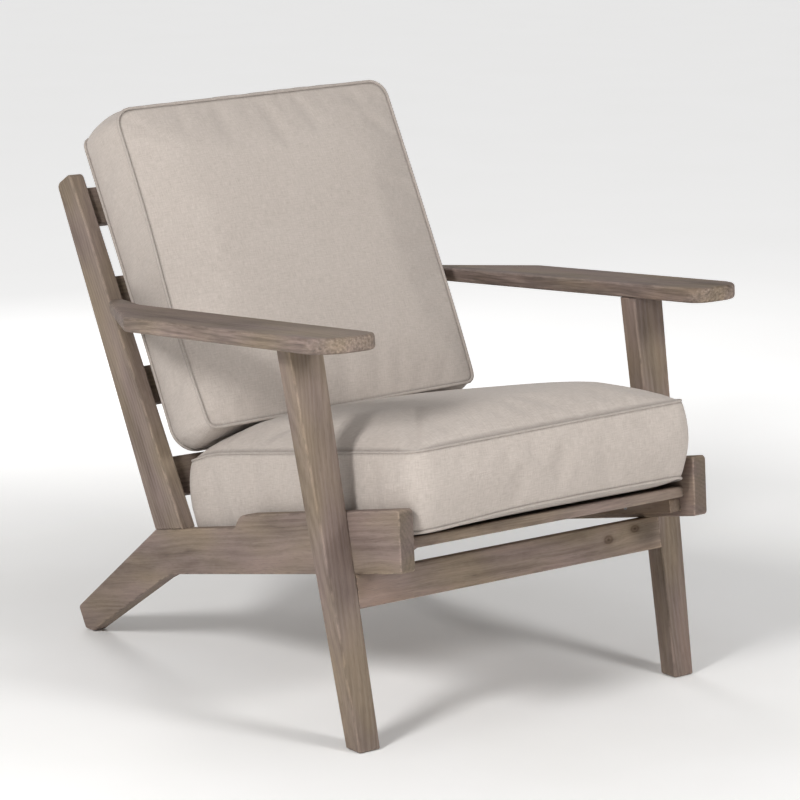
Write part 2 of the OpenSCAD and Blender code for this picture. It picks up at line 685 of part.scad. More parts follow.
module back_core_block() {
    translate([0, 0, back_cushion_at + back_half]) rotate([90, 0, 0])
        foam_block(cushion_w / 2, back_half, back_seam_rear, back_seam_front);
}

// Zips: a tape flush with the band, and a slider with its pull on it
zip_l = 320;
zip_w = 10;
zip_t = 3;
zip_play = 0.2;
slider_l = 10;
slider_w = 8;
slider_h = 3.5;
pull_l = 22;
pull_w = 6;
pull_t = 1.5;
zip_share = (band_shares[1][0] + band_shares[2][0]) / 2;
module on_seat_band() {
    translate([0, seat_cushion_rear - band_draw, seat_seam_low + zip_share * seat_band])
        rotate([-90, 0, 0]) children();
}
module on_back_band() {
    translate([0, -back_seam_rear - zip_share * back_band, back_cushion_at + band_draw])
        rotate([180, 0, 0]) children();
}
module zip_tape(over) { translate([-zip_l / 2, -zip_w / 2, -zip_t]) cube([zip_l, zip_w, zip_t + over]); }
module zip_slider() {
    translate([-zip_l / 2 + slider_l, 0, zip_play]) {
        translate([-slider_l / 2, -slider_w / 2, 0]) cube([slider_l, slider_w, slider_h]);
        translate([0, -pull_w / 2, slider_h - pull_t]) cube([pull_l, pull_w, pull_t]);
    }
}
module seat_cushion_cover() {
    color(linen) placed() tilted() difference() {
        seat_form();
        seat_core_block();
        on_seat_band() zip_tape(cut);
    }
}
module seat_cushion_core() { color(foam) placed() tilted() seat_core_block(); }
module seat_cushion_zip() { color(nylon) placed() tilted() on_seat_band() zip_tape(0); }
module seat_zip_slider() { color(steel) placed() tilted() on_seat_band() zip_slider(); }
module back_cushion_cover() {
    color(linen) placed() leaned() difference() {
        back_form();
        back_core_block();
        on_back_band() zip_tape(cut);
    }
}
module back_cushion_core() { color(foam) placed() leaned() back_core_block(); }
module back_cushion_zip() { color(nylon) placed() leaned() on_back_band() zip_tape(0); }
module back_zip_slider() { color(steel) placed() leaned() on_back_band() zip_slider(); }

side_rail(-1);  // left_side_rail
side_rail(1);  // right_side_rail
front_leg(-1);  // left_front_leg
front_leg(1);  // right_front_leg
back_post(-1);  // left_back_post
back_post(1);  // right_back_post
armrest(-1);  // left_armrest
armrest(1);  // right_armrest
front_stretcher();
back_slat(3);  // top_back_slat
back_slat(2);  // upper_back_slat
back_slat(1);  // lower_back_slat
back_slat(0);  // bottom_back_slat
seat_slat(0);  // front_seat_slat
seat_slat(1);  // second_seat_slat
seat_slat(2);  // third_seat_slat
seat_slat(3);  // fourth_seat_slat
seat_slat(4);  // rear_seat_slat
cleat(-1);  // left_cleat
cleat(1);  // right_cleat
slat_dowels();
post_dowels();
armrest_dowels();
stretcher_dowels();
leg_bolts();
leg_inserts();
cleat_screws();
seat_slat_screws();
front_glides();
rear_glides();
seat_cushion_cover();
seat_cushion_core();
seat_cushion_zip();
seat_zip_slider();
back_cushion_cover();
back_cushion_core();
back_cushion_zip();
back_zip_slider();
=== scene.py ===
# %% [markdown]
# # A fireside chair, dressed
# The wooden chair arrives finished from its CAD source, so here it only gets its finish.
# The two loose cushions are made in this file, because cloth is what CAD does worst: they are
# blown up by a cloth simulation and sewn round with piping, and their zips get coils.
# Every length is in metres, in the same frame as the CAD model: the chair faces -Y and +Z is up.

# %% Load the wooden chair
import bmesh
import bpy
import math
import numpy as np
from mathutils import Matrix, Vector


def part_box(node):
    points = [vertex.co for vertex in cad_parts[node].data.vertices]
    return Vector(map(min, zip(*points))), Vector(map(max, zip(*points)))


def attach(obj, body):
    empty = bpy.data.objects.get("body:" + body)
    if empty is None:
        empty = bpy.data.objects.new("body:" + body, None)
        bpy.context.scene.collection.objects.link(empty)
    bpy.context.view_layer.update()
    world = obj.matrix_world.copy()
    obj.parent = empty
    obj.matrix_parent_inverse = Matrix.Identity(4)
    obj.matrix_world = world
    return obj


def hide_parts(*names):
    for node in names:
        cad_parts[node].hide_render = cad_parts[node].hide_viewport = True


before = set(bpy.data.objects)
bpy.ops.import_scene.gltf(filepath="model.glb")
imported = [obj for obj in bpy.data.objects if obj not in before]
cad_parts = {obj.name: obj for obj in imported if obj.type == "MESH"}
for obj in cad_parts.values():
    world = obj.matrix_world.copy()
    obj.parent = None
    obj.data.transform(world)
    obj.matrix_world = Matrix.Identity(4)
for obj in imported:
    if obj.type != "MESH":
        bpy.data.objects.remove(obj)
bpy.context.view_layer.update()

# %% [markdown]
# ## Camera
# The photograph was taken from the chair's front left, a little above the seat. The place, the
# direction and the focal length were fitted to the chair's straight edges, so a piece lands on
# the same pixel as in the photograph. Tracking an axis along the view gives the rotation.

# %% Camera at the photograph's angle
MIDDLE = 0.3698  # from the front legs' front face back to the chair's middle
PHOTO_WIDTH, FOCAL_PIXELS = 800, 2983.79
SENSOR = 36  # width of a full-frame sensor, mm
scene = bpy.context.scene
view_turn, view_fall = math.radians(37.43), math.radians(11.64)
look = Vector((math.sin(view_turn) * math.cos(view_fall), math.cos(view_turn) * math.cos(view_fall),
               -math.sin(view_fall)))
bpy.ops.object.camera_add(location=(-2.55812, -3.03645 - MIDDLE, 1.25969),
                          rotation=look.to_track_quat("-Z", "Y").to_euler())
camera = bpy.context.object
camera.data.sensor_width = SENSOR
camera.data.lens = FOCAL_PIXELS / PHOTO_WIDTH * SENSOR
scene.camera = camera
print("focal length, mm:", round(camera.data.lens, 1))

# %% [markdown]
# ## Light
# The picture is a studio shot on white. The left leg lays a shadow on the seat cushion's side that
# is sharp at first and blurs across its top, so the main light is a fairly small one, low on the
# left. A second one, a little right of the front, lights the faces towards the camera. A weak one
# hangs overhead and another stands behind, for the views from there. The white all round only
# softens the shadows.

# %% Floor and studio light
FLOOR_SIZE = 120  # so large that its edge is out of sight
AIM, DISTANCE = Vector((0, -0.2, 0.4)), 3  # what the lights point at, and how far from it they stand
WHITE = (1, 1, 1, 1)
bpy.ops.mesh.primitive_plane_add(size=FLOOR_SIZE)
floor = bpy.context.object
floor.name = "studio_floor"


def soft_light(name, turn, rise, size, power):
    """A round soft light; turn is counted from the chair's front, to its left if below 0."""
    turn, rise = math.radians(turn), math.radians(rise)
    towards = Vector((math.sin(turn) * math.cos(rise), -math.cos(turn) * math.cos(rise), math.sin(rise)))
    bpy.ops.object.light_add(type="AREA", location=AIM + DISTANCE * towards,
                             rotation=(-towards).to_track_quat("-Z", "Y").to_euler())
    light = bpy.context.object
    light.name = name
    light.data.shape = "DISK"
    light.data.size = size
    light.data.energy = power
    print(name, "stands at", [round(place, 2) for place in light.location])


soft_light("left_light", turn=-75, rise=30, size=0.65, power=56)
soft_light("front_light", turn=15, rise=30, size=0.8, power=36)
soft_light("top_light", turn=0, rise=80, size=1.2, power=7)
soft_light("rear_light", turn=165, rise=25, size=1.2, power=18)
world = bpy.data.worlds.new("white_studio")
world.use_nodes = True
world.node_tree.nodes["Background"].inputs["Color"].default_value = WHITE
scene.world = world
scene.view_settings.view_transform = "Standard"

# %% [markdown]
# ## Tools for materials
# A colour picked from a photograph is an sRGB number, while the shader counts in linear light, so
# one function turns one into the other. Another one adds a node, sets it and links it, and the
# rest are short names for the nodes that nearly every finish here needs.

# %% Colour and node helpers
def linear(code):
    """A colour such as #83766c in linear light, fully opaque."""
    parts = [int(code[i:i + 2], 16) / 255 for i in (1, 3, 5)]
    return tuple(c / 12.92 if c <= 0.04045 else ((c + 0.055) / 1.055) ** 2.4 for c in parts) + (1.0,)


def connect(tree, node, sockets):
    """Links each input to a socket, or sets it to a value."""
    for name, value in sockets.items():
        if isinstance(value, bpy.types.NodeSocket):
            tree.links.new(value, node.inputs[name])
        else:
            node.inputs[name].default_value = value


def add(tree, kind, sockets, **settings):
    """A new node of one kind, with its settings and its inputs."""
    node = tree.nodes.new(kind)
    for name, value in settings.items():
        setattr(node, name, value)
    connect(tree, node, sockets)
    return node


print("half grey in linear light:", round(linear("#808080")[0], 3))


# %% Short names for common nodes
def number(tree, operation, *values, **settings):
    """A sum on numbers."""
    return add(tree, "ShaderNodeMath", dict(enumerate(values)), operation=operation, **settings).outputs[0]


def vector(tree, operation, *values):
    """A sum on vectors; some of them give a number."""
    node = add(tree, "ShaderNodeVectorMath", dict(enumerate(values)), operation=operation)
    return node.outputs["Value" if operation in ("DOT_PRODUCT", "DISTANCE", "LENGTH") else "Vector"]


def scaled(tree, colour, amount):
    """A colour made paler or darker all through."""
    node = add(tree, "ShaderNodeVectorMath", {0: colour, "Scale": amount}, operation="SCALE")
    return node.outputs["Vector"]


def map_range(tree, value, source, target, **settings):
    """A value carried from one range to another, and held inside it."""
    return add(tree, "ShaderNodeMapRange", {
        "Value": value, "From Min": source[0], "From Max": source[1],
        "To Min": target[0], "To Max": target[1]}, **settings).outputs["Result"]


def noise(tree, place, stretch, detail, roughness=0.5, output="Fac"):
    """Noise with so many blotches to the metre along each axis."""
    return add(tree, "ShaderNodeTexNoise", {
        "Vector": vector(tree, "MULTIPLY", place, stretch), "Scale": 1.0, "Detail": detail,
        "Roughness": roughness}).outputs[output]


def colour_ramp(tree, value, *stops):
    """Colours that follow a value; each stop is a value and its colour."""
    node = add(tree, "ShaderNodeValToRGB", {"Fac": value})
    for element, (place, colour) in zip(node.color_ramp.elements, (stops[0], stops[-1])):
        element.position, element.color = place, colour
    for place, colour in stops[1:-1]:
        node.color_ramp.elements.new(place).color = colour
    return node.outputs["Color"]


def bump(tree, height, strength, distance):
    """Relief for the surface's normal; distance is the step from lowest to highest."""
    return add(tree, "ShaderNodeBump", {"Height": height, "Strength": strength,
                                        "Distance": distance}).outputs["Normal"]


def new_material(name):
    """A material, its node tree and its surface shader."""
    material = bpy.data.materials.new(name)
    material.use_nodes = True
    tree = material.node_tree
    return material, tree, tree.nodes["Principled BSDF"]


def dress(node_name, material):
    """Gives a CAD piece its finish."""
    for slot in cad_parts[node_name].material_slots:
        slot.material = material
    print(node_name, "is", material.name)


# %% [markdown]
# ## Weathered wood: grain and rings
# The boards are an open-pored hardwood, and the grain runs along each one. So each board gets a
# material of its own, whose coordinates are turned to that board by a Mapping node. The growth
# rings are circles round a pith that lies outside the board: on the faces they draw lines and
# arches, on the ends arcs. Slow bends keep them from running ruler-straight.

# %% A board's axes and its growth rings
WAVE = 0.314  # a wave texture of scale 1 repeats after so many metres
RING = 0.0058  # spacing of the growth rings
FIBRE = 0.0022  # width of the streaks; real pores are finer, and would vanish in the picture
SHUFFLE, SPREAD = (12.9, 4.1, 7.7), 3.0  # give each board a stretch of grain of its own
# blotches to the metre, first along the grain and then across it
BENDS, PATCHES, CLOUDS = (4, 16, 16), (5, 22, 22), (7, 20, 20)
FIBRES, PORES = (9, 1 / FIBRE, 1 / FIBRE), (55, 1100, 1100)
LINES, DENTS = (13, 300, 300), (45, 170, 170)


def board_axes(grain, face):
    """Along the grain, out of the wide face, and the turn that lays X and Z on these two."""
    along = Vector(grain).normalized()
    out = (Vector(face) - Vector(face).dot(along) * along).normalized()
    return along, out, Matrix((along, out.cross(along), out)).transposed().to_euler()


def growth(tree, board, shift):
    """The board's coordinates with slow bends, and rings round a pith below it, slightly aslant."""
    bend = noise(tree, board, BENDS, 2.0, output="Color")
    bend = vector(tree, "SUBTRACT", bend, (0.5, 0.5, 0.5))
    bent = vector(tree, "MULTIPLY_ADD", bend, (0, 0.02, 0.02), board)
    pith = add(tree, "ShaderNodeMapping", {
        "Vector": bent,
        "Location": -shift * SPREAD + Vector((0, 0.03 * shift.y, 0.055 + 0.02 * shift.z)),
        "Rotation": (0, 0.03 * shift.x, 0.02 * shift.z)}).outputs["Vector"]
    rings = add(tree, "ShaderNodeTexWave", {
        "Vector": pith, "Scale": WAVE / RING, "Distortion": 1.2, "Detail": 2.0, "Detail Scale": 2.0},
        wave_type="RINGS", rings_direction="X").outputs["Fac"]
    return bent, rings


print("rings to the metre:", round(1 / RING), "and streaks:", round(1 / FIBRE))

# %% [markdown]
# ## Weathered wood: the wash
# The boards are brushed and wiped with a thin brown-grey wash. It settles in the pores and leaves
# long streaks, and the rings show through it as faint lines. In some places the brown wood comes
# through, and the wash itself is a little mauve here and a little olive there.

# %% Colour of the washed wood
GREY_PALE, GREY_MID, GREY_DARK = linear("#a3968b"), linear("#83766c"), linear("#5a4d43")
BROWN = linear("#7b6653")
MAUVE, WARM, OLIVE = (1.0, 0.94, 0.98, 1), (1.0, 0.96, 0.94, 1), (1.0, 0.96, 0.84, 1)
LEAST_WASH, FROM_PATCHES, FROM_RINGS, FROM_FIBRES = 0.05, 0.54, 0.07, 0.24  # what adds up to the wash
BROWN_FROM, BROWN_RISE = 0.42, 3.2  # the patches' value where brown starts, and how steeply it rises


def wash_colour(tree, board, fibres, rings, brown):
    """How much wash lies on the wood, and the colour of both together."""
    patches = noise(tree, board, PATCHES, 3.0)
    wash = number(tree, "MULTIPLY_ADD", patches, FROM_PATCHES, LEAST_WASH)
    wash = number(tree, "MULTIPLY_ADD", rings, FROM_RINGS, wash)
    wash = number(tree, "MULTIPLY_ADD", fibres, FROM_FIBRES, wash)
    grey = colour_ramp(tree, wash, (0.26, GREY_DARK), (0.46, GREY_MID), (0.74, GREY_PALE))
    bare = number(tree, "SUBTRACT", patches, BROWN_FROM)
    bare = number(tree, "MULTIPLY", bare, BROWN_RISE * brown, use_clamp=True)
    toned = add(tree, "ShaderNodeMix", {0: bare, 6: grey, 7: BROWN}, data_type="RGBA").outputs[2]
    tint = colour_ramp(tree, noise(tree, board, CLOUDS, 1.0), (0.36, MAUVE), (0.5, WARM), (0.66, OLIVE))
    return wash, vector(tree, "MULTIPLY", toned, tint)


print("wash, red green blue:", [round(c, 3) for c in GREY_MID[:3]])

# %% [markdown]
# ## Weathered wood: wear, painted shade and painted highlight
# End grain drinks more of the stain, or holds more of the wash; the side rails' dark front ends are partly a
# painted shade as well. Narrow faces are sawn across the rings, so pale and dark streaks show there. Edges
# are paler, partly rubbed and partly a painted highlight of the light that their rounding catches, and have
# small dark dents. A Bevel node finds them: it says how far a rounded edge would turn the surface at each
# point. A knot is a few dark rings round a point.

# %% Ends, edges, narrow faces and knots
# the paler edges are partly worn and partly a painted highlight
WORN_EDGE_AND_HIGHLIGHT_REACH = 0.0025  # how far from an edge it is worn
ALONG_KNOT = Vector((0.6, 1, 1))  # a knot is longer along the grain
KNOT_RADIUS = 0.01
# colours from a knot's heart to its edge, at shares of its radius
KNOT = ((0.08, (0.3, 0.25, 0.2, 1)), (0.22, (0.62, 0.56, 0.5, 1)), (0.42, (0.5, 0.44, 0.38, 1)),
        (0.62, (0.88, 0.86, 0.84, 1)), (1.0, WHITE))


def facing(tree, normal, direction):
    """1 where a surface looks along a direction or against it, 0 where it is parallel to it."""
    return number(tree, "ABSOLUTE", vector(tree, "DOT_PRODUCT", normal, direction))


def wear_and_painted_light(tree, board, bent, along, out, tone, ends, streaks):
    """What to multiply the colour by on the ends, on the edges and on the narrow faces."""
    normal = add(tree, "ShaderNodeNewGeometry", {}).outputs["Normal"]
    # the ends: end grain's own tone; on the side rails the dark front ends are partly a painted shade
    end = map_range(tree, facing(tree, normal, along), (0.75, 0.95), (tone, tone * ends))
    # the edges: paler, partly rubbed wear and partly a painted highlight where the rounding catches light,
    # with small dark dents
    rounded = add(tree, "ShaderNodeBevel", {"Radius": WORN_EDGE_AND_HIGHLIGHT_REACH}, samples=4).outputs["Normal"]
    edge = map_range(tree, vector(tree, "DOT_PRODUCT", rounded, normal), (0.998, 0.93), (0.0, 1.0))
    dents = map_range(tree, noise(tree, board, DENTS, 3.0), (0.40, 0.52), (-0.5, 0.6))
    edge = number(tree, "MULTIPLY_ADD", edge, dents, 1.0)
    narrow = map_range(tree, facing(tree, normal, out), (0.9, 0.4), (0.0, streaks))
    lines = map_range(tree, noise(tree, bent, LINES, 2.0), (0.36, 0.64), (-1.0, 1.0))
    return end, edge, number(tree, "MULTIPLY_ADD", narrow, lines, 1.0)


def add_knot(tree, colour, bent, heart):
    """Darkens the colour in rings round one point of the board."""
    far = vector(tree, "DISTANCE", vector(tree, "MULTIPLY", bent, ALONG_KNOT), heart * ALONG_KNOT)
    dark = colour_ramp(tree, number(tree, "MULTIPLY", far, 1 / KNOT_RADIUS), *KNOT)
    return vector(tree, "MULTIPLY", colour, dark)


print("a knot's radius, mm:", 1000 * KNOT_RADIUS)


# %% The wood's finish
def washed_wood(name, grain, face, seed, brown, tone, ends, streaks, knots=()):
    """Wood with its grain along one direction and its wide face towards another. brown is how much
    of the wood shows, tone how pale it is and ends how pale its ends are against that; streaks is
    how strongly its narrow faces are streaked."""
    low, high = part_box(name)
    middle = (low + high) / 2
    along, out, turn = board_axes(grain, face)
    shift = Vector([math.sin(seed * factor) for factor in SHUFFLE])
    material, tree, surface = new_material("weathered_oak_" + name)
    place = add(tree, "ShaderNodeTexCoord", {}).outputs["Object"]
    board = add(tree, "ShaderNodeMapping", {"Vector": place, "Location": middle, "Rotation": turn},
                vector_type="TEXTURE").outputs["Vector"]
    board = vector(tree, "ADD", board, shift * SPREAD)
    bent, rings = growth(tree, board, shift)
    fibres = noise(tree, bent, FIBRES, 3.0, 0.6)
    pores = noise(tree, bent, PORES, 1.0)
    wash, colour = wash_colour(tree, board, fibres, rings, brown)
    grain_wear_and_painted_light = map_range(tree, pores, (0.30, 0.46), (0.84, 1.0))
    for factor in wear_and_painted_light(tree, board, bent, along, out, tone, ends, streaks):
        grain_wear_and_painted_light = number(tree, "MULTIPLY", grain_wear_and_painted_light, factor)
    colour = scaled(tree, colour, grain_wear_and_painted_light)
    for knot in knots:
        heart = turn.to_matrix().inverted() @ (Vector(knot) - middle) + shift * SPREAD
        colour = add_knot(tree, colour, bent, heart)
    relief = number(tree, "MULTIPLY_ADD", fibres, 0.6, pores)
    connect(tree, surface, {
        "Base Color": colour, "Roughness": map_range(tree, wash, (0.0, 1.0), (0.78, 0.62)), "IOR": 1.5,
        "Specular IOR Level": 0.35, "Normal": bump(tree, relief, strength=0.5, distance=0.0007)})
    dress(name, material)


# %% [markdown]
# ## Weathered wood: every board
# A list gives each board its grain and its tone, since no two boards are alike. The frame leans
# three ways: the seat falls to the rear, the back leans, and the armrests slope a little.

# %% Grain along every board
TILT, LEAN, ARM_SLOPE = math.radians(12), math.radians(29.5), math.radians(4.2)
RIGHT_BROWN = 0.35  # the right side's boards are browner
ACROSS = (1, 0, 0)  # the chair's width
along_rail, across_seat = (0, math.cos(TILT), -math.sin(TILT)), (0, math.sin(TILT), math.cos(TILT))
along_post, across_back = (0, math.sin(LEAN), math.cos(LEAN)), (0, -math.cos(LEAN), math.sin(LEAN))
along_arm = (0, math.cos(ARM_SLOPE), -math.sin(ARM_SLOPE))
across_arm = (0, math.sin(ARM_SLOPE), math.cos(ARM_SLOPE))
# name, grain, wide face, brown, tone, ends, streaks
boards = [(side + name, grain, face, brown + (RIGHT_BROWN if side == "right" else 0), *finish)
          for name, grain, face, brown, *finish in (
              # the side rails' dark ends (0.64) are partly a painted shade on their front ends
              ("_side_rail", along_rail, ACROSS, 0.3, 0.92, 0.64, 0.08),
              ("_front_leg", across_seat, along_rail, 0.25, 0.88, 0.9, 0.05),
              ("_back_post", along_post, ACROSS, 0.1, 0.93, 0.95, 0.08),
              ("_armrest", along_arm, across_arm, 0.25, 0.81, 1.15, 0.24),
              ("_cleat", along_rail, ACROSS, 0.3, 0.85, 0.9, 0.08))
          for side in ("left", "right")]
boards += [(place + "_back_slat", ACROSS, across_back, 0.25, 0.88, 0.9, 0.08)
           for place in ("top", "upper", "lower", "bottom")]
boards += [(place + "_seat_slat", ACROSS, across_seat, 0.3, 1.0, 0.9, 0.08)
           for place in ("front", "second", "third", "fourth", "rear")]
# the stretcher has two small knots near its right end
boards += [("front_stretcher", ACROSS, along_rail, 0.7, 1.04, 0.9, 0.08,
            ((0.1729, -0.3248, 0.2116), (0.2242, -0.3236, 0.2174)))]
for seed, (name, grain, face, *finish) in enumerate(boards, start=1):
    washed_wood(name, grain, face, seed, *finish)
print("boards with their own grain:", len(boards))

# %% [markdown]
# ## Fittings
# Beech dowels, zinc-plated screws and bolts, brass inserts and nylon glides hold the chair and
# stand under it. Most of them are out of sight, but someone may take the chair apart, so each has
# the finish that it has in the shop: turned wood, dull bright zinc, yellow brass, grey nylon. The
# zips have nickel-plated sliders on woven tapes.

# %% A finish with a fine grain
def grained(name, colours, metallic, roughness, cell, stretch=(1, 1, 1)):
    """A finish whose colour, roughness and relief vary with one noise of a given cell size."""
    material, tree, surface = new_material(name)
    place = vector(tree, "MULTIPLY", add(tree, "ShaderNodeTexCoord", {}).outputs["Object"], stretch)
    cells = add(tree, "ShaderNodeTexNoise", {
        "Vector": place, "Scale": 1 / cell, "Detail": 3.0}).outputs["Fac"]
    connect(tree, surface, {
        "Base Color": colour_ramp(tree, cells, (0.3, linear(colours[0])), (0.7, linear(colours[1]))),
        "Metallic": metallic, "Roughness": map_range(tree, cells, (0.0, 1.0), roughness),
        "Normal": bump(tree, cells, strength=0.3, distance=0.0002)})
    print(name, "nodes:", len(tree.nodes))
    return material


# %% Dowels, screws, inserts, glides and zips
# colours, metallic or not, roughness, size of the grain, and how it is stretched
beech = grained("turned_beech", ("#c9a57c", "#ddc09b"), 0.0, (0.5, 0.65), 0.004, (0.15, 1, 1))
zinc = grained("zinc_plated_steel", ("#7d8082", "#9c9fa1"), 1.0, (0.35, 0.55), 0.003)
brass = grained("turned_brass", ("#b08d4a", "#cdaa63"), 1.0, (0.22, 0.38), 0.002)
nylon = grained("moulded_nylon", ("#5d5a56", "#6f6c67"), 0.0, (0.45, 0.6), 0.002)
nickel = grained("nickel_plated_zip_metal", ("#8f8d88", "#b9b6b0"), 1.0, (0.3, 0.5), 0.0015)
tape = grained("woven_zip_tape", ("#8d8478", "#a59b8e"), 0.0, (0.8, 0.95), 0.0012)
for material, names in (
        (beech, ("slat_dowels", "post_dowels", "armrest_dowels", "stretcher_dowels")),
        (zinc, ("leg_bolts", "cleat_screws", "seat_slat_screws")), (brass, ("leg_inserts",)),
        (nylon, ("front_glides", "rear_glides")), (nickel, ("seat_zip_slider", "back_zip_slider")),
        (tape, ("seat_cushion_zip", "back_cushion_zip"))):
    for name in names:
        dress(name, material)

# %% [markdown]
# ## Linen
# The covers are an oatmeal linen in plain weave. Linen yarn is uneven: thicker stretches, called slubs, run a
# few centimetres along warp and weft and make a faint cross-hatch. The weave follows the cut panels, so it
# reads a UV map laid out in metres on the flat panels before they are blown up. Real threads are about 0.5 mm
# apart. Here they are 1.2 mm, so that they show. The linen pulled round the piping's cord is painted darker,
# as the shade of the seam it lies in, and a painted shade darkens the seams' grooves too.

# %% The cloth's finish
THREAD, SLUB = 0.0012, 0.014
SLUB_WIDTH = THREAD * 1.3
MOTTLE = 9.0  # cloudy patches to the metre, from washing and handling
LINEN_DARK, LINEN_MID, LINEN_PALE = linear("#a2988f"), linear("#b5aba3"), linear("#c5bcb4")
# SEAM_SHADE is how dark the painted shade in the seams' grooves is
SEAM_SHADE = 0.55  # how dark the grooves of the seams are


def woven(tree, cloth):
    """The threads of a plain weave, and the slubs of both yarns."""
    yarns, slubs = [], []
    for axis, (wide, high) in (("X", (SLUB, SLUB_WIDTH)), ("Y", (SLUB_WIDTH, SLUB))):
        yarns.append(add(tree, "ShaderNodeTexWave", {
            "Vector": cloth, "Scale": WAVE / THREAD, "Distortion": 0.6, "Detail": 1.0, "Detail Scale": 0.5},
            wave_type="BANDS", bands_direction=axis).outputs["Fac"])
        slubs.append(noise(tree, cloth, (1 / wide, 1 / high, 1), 2.0, 0.7))
    return number(tree, "MULTIPLY", *yarns), number(tree, "ADD", *slubs)


def linen(name, turn=0.0, relief=0.45, shade=1.0):
    """Linen whose threads are turned against its panel. relief is how deep the weave is, shade how dark the
    whole is, which below 1 is a painted shade; a painted shade darkens the seams' grooves still more."""
    material, tree, surface = new_material(name)
    cloth = add(tree, "ShaderNodeUVMap", {}, uv_map="cloth").outputs["UV"]
    cloth = add(tree, "ShaderNodeMapping", {"Vector": cloth, "Rotation": (0, 0, turn)}).outputs["Vector"]
    weave, slub = woven(tree, cloth)
    mottle = add(tree, "ShaderNodeTexNoise", {"Vector": cloth, "Scale": MOTTLE, "Detail": 3.0}).outputs["Fac"]
    tone = number(tree, "MULTIPLY_ADD", weave, 0.10, slub)
    tone = number(tree, "MULTIPLY_ADD", mottle, 0.25, tone)
    colour = colour_ramp(tree, map_range(tree, tone, (0.60, 1.70), (0.0, 1.0)),
                         (0.0, LINEN_DARK), (0.5, LINEN_MID), (1.0, LINEN_PALE))
    # painted shade along the seams, read from the attribute that marks them
    painted_seam_shade = add(tree, "ShaderNodeAttribute", {}, attribute_name="painted_seam_shade").outputs["Fac"]
    painted_seam_shade = map_range(tree, painted_seam_shade, (0.4, 1.0), (shade, SEAM_SHADE))
    height = number(tree, "MULTIPLY_ADD", weave, 0.45, slub)
    connect(tree, surface, {
        "Base Color": scaled(tree, colour, painted_seam_shade), "Roughness": 0.92, "Specular IOR Level": 0.25,
        "Sheen Weight": 0.12, "Sheen Roughness": 0.5, "Normal": bump(tree, height, relief, 0.0006)})
    print(name, "threads to the centimetre:", round(0.01 / THREAD, 1))
    return material


panel_linen = linen("plain_woven_linen")
# the piping is painted darker, as the shade of the seams it lies in
piping_linen = linen("linen_cut_on_the_bias", turn=math.radians(45), relief=0.15, shade=0.84)

# %% [markdown]
# ## Cushions: where they lie
# Both cushions are boxes of foam and wadding in a sewn cover: two panels and a band between them.
# The seat cushion lies in a frame tilted with the seat, the back cushion in one leaned with the
# back. Working in the cushion's own frame keeps its sides parallel to the axes, and two functions
# carry the finished points into the chair's frame.

# %% From a cushion's own frame to the chair's
POST_FOOT = (0.503164, 0.202818)  # middle of the posts' feet: how far back from the front legs, how high


def seat_place(points):
    """(across, to the rear, square to the seat) to the chair's frame."""
    x, u, v = points.T
    return np.stack([x, u * math.cos(TILT) + v * math.sin(TILT) - MIDDLE,
                     v * math.cos(TILT) - u * math.sin(TILT)], axis=1)


def back_place(points):
    """(across, up the back, ahead of the posts' middle) to the chair's frame."""
    x, p, d = points.T
    return np.stack([x, p * math.sin(LEAN) - d * math.cos(LEAN) + POST_FOOT[0] - MIDDLE,
                     p * math.cos(LEAN) + d * math.sin(LEAN) + POST_FOOT[1]], axis=1)


print("middle of the posts' feet:", back_place(np.zeros((1, 3)))[0].round(3))

# %% [markdown]
# ## Cushions: a grid to blow up
# A cloth simulation likes even squares. A cube is cut into a grid by subdividing only the edges
# that run along one axis at a time, which leaves clean loops where the seams come. The cloth's UV
# map is laid on at this stage, while every face still lies flat in its panel.

# %% A cube cut into even squares
CUBE_AXES = {0: (1, 2), 1: (0, 2), 2: (0, 1)}  # the two axes along a face that looks down the first
CUT_SHIFT = (0.37, 0.91)  # the panels are cut from different places of the bolt


def cut_cube(name, half, cells):
    """A cube from -1 to 1 with so many cells along each axis; half is the cushion's half size."""
    bpy.ops.object.select_all(action="DESELECT")
    bpy.ops.mesh.primitive_cube_add(size=2)
    cube = bpy.context.object
    cube.name = name
    bpy.ops.object.mode_set(mode="EDIT")
    bpy.ops.mesh.select_mode(type="EDGE")
    for axis, count in enumerate(cells):
        bpy.ops.mesh.select_all(action="DESELECT")
        mesh = bmesh.from_edit_mesh(cube.data)
        for edge in mesh.edges:
            edge.select = abs((edge.verts[0].co - edge.verts[1].co)[axis]) > 1e-6
        bmesh.update_edit_mesh(cube.data)
        bpy.ops.mesh.subdivide(number_cuts=count - 1)
    bpy.ops.object.mode_set(mode="OBJECT")
    lay_cloth_map(cube, half)
    print(name, "grid faces:", len(cube.data.polygons))
    return cube


def lay_cloth_map(cube, half):
    """A UV map in metres, laid flat on each panel."""
    for layer in list(cube.data.uv_layers):
        cube.data.uv_layers.remove(layer)
    cloth = cube.data.uv_layers.new(name="cloth")
    for face in cube.data.polygons:
        axis = max(range(3), key=lambda k: abs(face.normal[k]))
        across, up = CUBE_AXES[axis]
        for corner in face.loop_indices:
            place = cube.data.vertices[cube.data.loops[corner].vertex_index].co
            cloth.data[corner].uv = (place[across] * half[across] + CUT_SHIFT[0] * axis,
                                     place[up] * half[up] + CUT_SHIFT[1] * (face.normal[axis] > 0))


# %% [markdown]
# ## Cushions: the cut cover
# Each grid point goes to its place on a box cushion. The plan has rounded corners and sides that
# pull in between them, the band bulges or draws in between its two seams, and a crowned panel
# rises from the seam, steeply at first and then almost level: that is how foam fills a cover.
# Everything starts a little smaller than the finished cushion, because the cloth still swells.

# %% Shape of a box cushion
SMALLER = 0.001  # by how much each side starts inside the finished one
ON_EDGE = 0.999  # a grid coordinate past this lies on the cube's surface
CORNER_REACH = 0.05  # how far from a corner its own bulge reaches
BAND_FULLNESS = 0.8  # less than 1 makes the band fuller next to its seams


